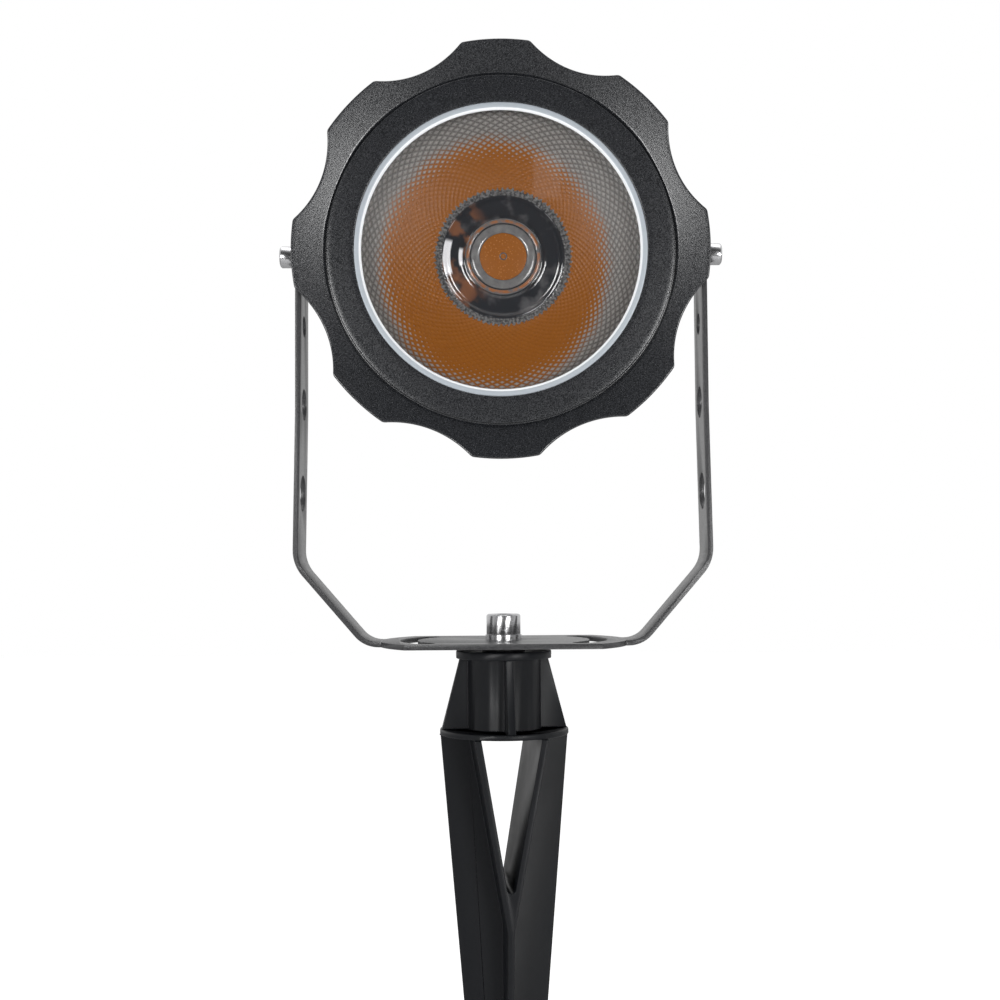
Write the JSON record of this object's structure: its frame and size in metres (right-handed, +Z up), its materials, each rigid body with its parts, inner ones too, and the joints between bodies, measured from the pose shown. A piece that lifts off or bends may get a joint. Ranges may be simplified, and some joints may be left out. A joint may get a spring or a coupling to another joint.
{
  "type": "garden spike spotlight",
  "caption": "Outdoor spotlight with a lobed round head, tilting in a U-shaped bracket on a forked ground spike.",
  "frame": {"origin": "on the spike's axis at soil level, which is the underside of the lower collar", "axes": "+Z up along the spike's axis; the light faces -Y; +X towards the tilt screw on its left, as seen from the light"},
  "size_m": [0.1746, 0.1081, 0.503],
  "materials": {
    "spike_plastic": "black glass-filled plastic, satin",
    "stainless": "polished stainless steel",
    "washer_black": "black nylon, satin",
    "bracket_paint": "dark grey fine-textured powder coat",
    "housing_paint": "cast aluminium, dark grey fine-textured powder coat",
    "bezel_paint": "cast aluminium, dark grey sandy powder coat with a fine sparkle",
    "front_glass": "clear toughened glass",
    "seal_rubber": "black silicone rubber",
    "bright_ring": "bright satin aluminium",
    "lens_plastic": "clear moulded acrylic, polished, diamond facets on the wall",
    "white_plastic": "white plastic",
    "board_metal": "bright aluminium board",
    "phosphor": "orange phosphor in silicone",
    "pad_rubber": "grey-blue heat conducting silicone",
    "lead_red": "red insulated lead",
    "lead_black": "black insulated lead",
    "circuit_board": "green circuit board",
    "capacitor_sleeve": "black sleeve",
    "transformer_tape": "yellow tape",
    "gland_plastic": "black nylon"
  },
  "bodies": {
    "spike": {"spike_body": "spike_plastic", "spike_nut": "stainless", "pan_bolt": "stainless", "pan_washer": "washer_black", "pan_spring_washer": "stainless"},
    "bracket": {"bracket_yoke": "bracket_paint"},
    "head": {"housing": "housing_paint", "bezel_ring": "bezel_paint", "bezel_screws": "stainless", "front_glass": "front_glass", "glass_gasket": "seal_rubber", "lens_ring": "bright_ring", "tir_lens": "lens_plastic", "cob_holder": "white_plastic", "cob_screws": "stainless", "cob_board": "board_metal", "cob_phosphor": "phosphor", "thermal_pad": "pad_rubber", "led_lead_plus": "lead_red", "led_lead_minus": "lead_black", "driver_board": "circuit_board", "driver_capacitor": "capacitor_sleeve", "driver_transformer": "transformer_tape", "driver_screws": "stainless", "rear_gasket": "seal_rubber", "rear_cover": "housing_paint", "rear_cover_screws": "stainless", "gland_washer": "seal_rubber", "gland_body": "gland_plastic", "gland_seal": "seal_rubber", "gland_nut": "gland_plastic", "pivot_screws": "stainless", "pivot_flat_washers": "stainless", "pivot_spring_washers": "stainless"}
  },
  "joints": [
    {"name": "bracket_pan", "type": "hinge", "parent": "spike", "child": "bracket", "pos_m": [0, 0, 0.0342], "axis": [0, 0, 1], "range_deg": [-180, 180]},
    {"name": "head_tilt", "type": "hinge", "parent": "bracket", "child": "head", "pos_m": [0, 0, 0.1878], "axis": [-1, 0, 0], "range_deg": [-3.5, 187]}
  ]
}
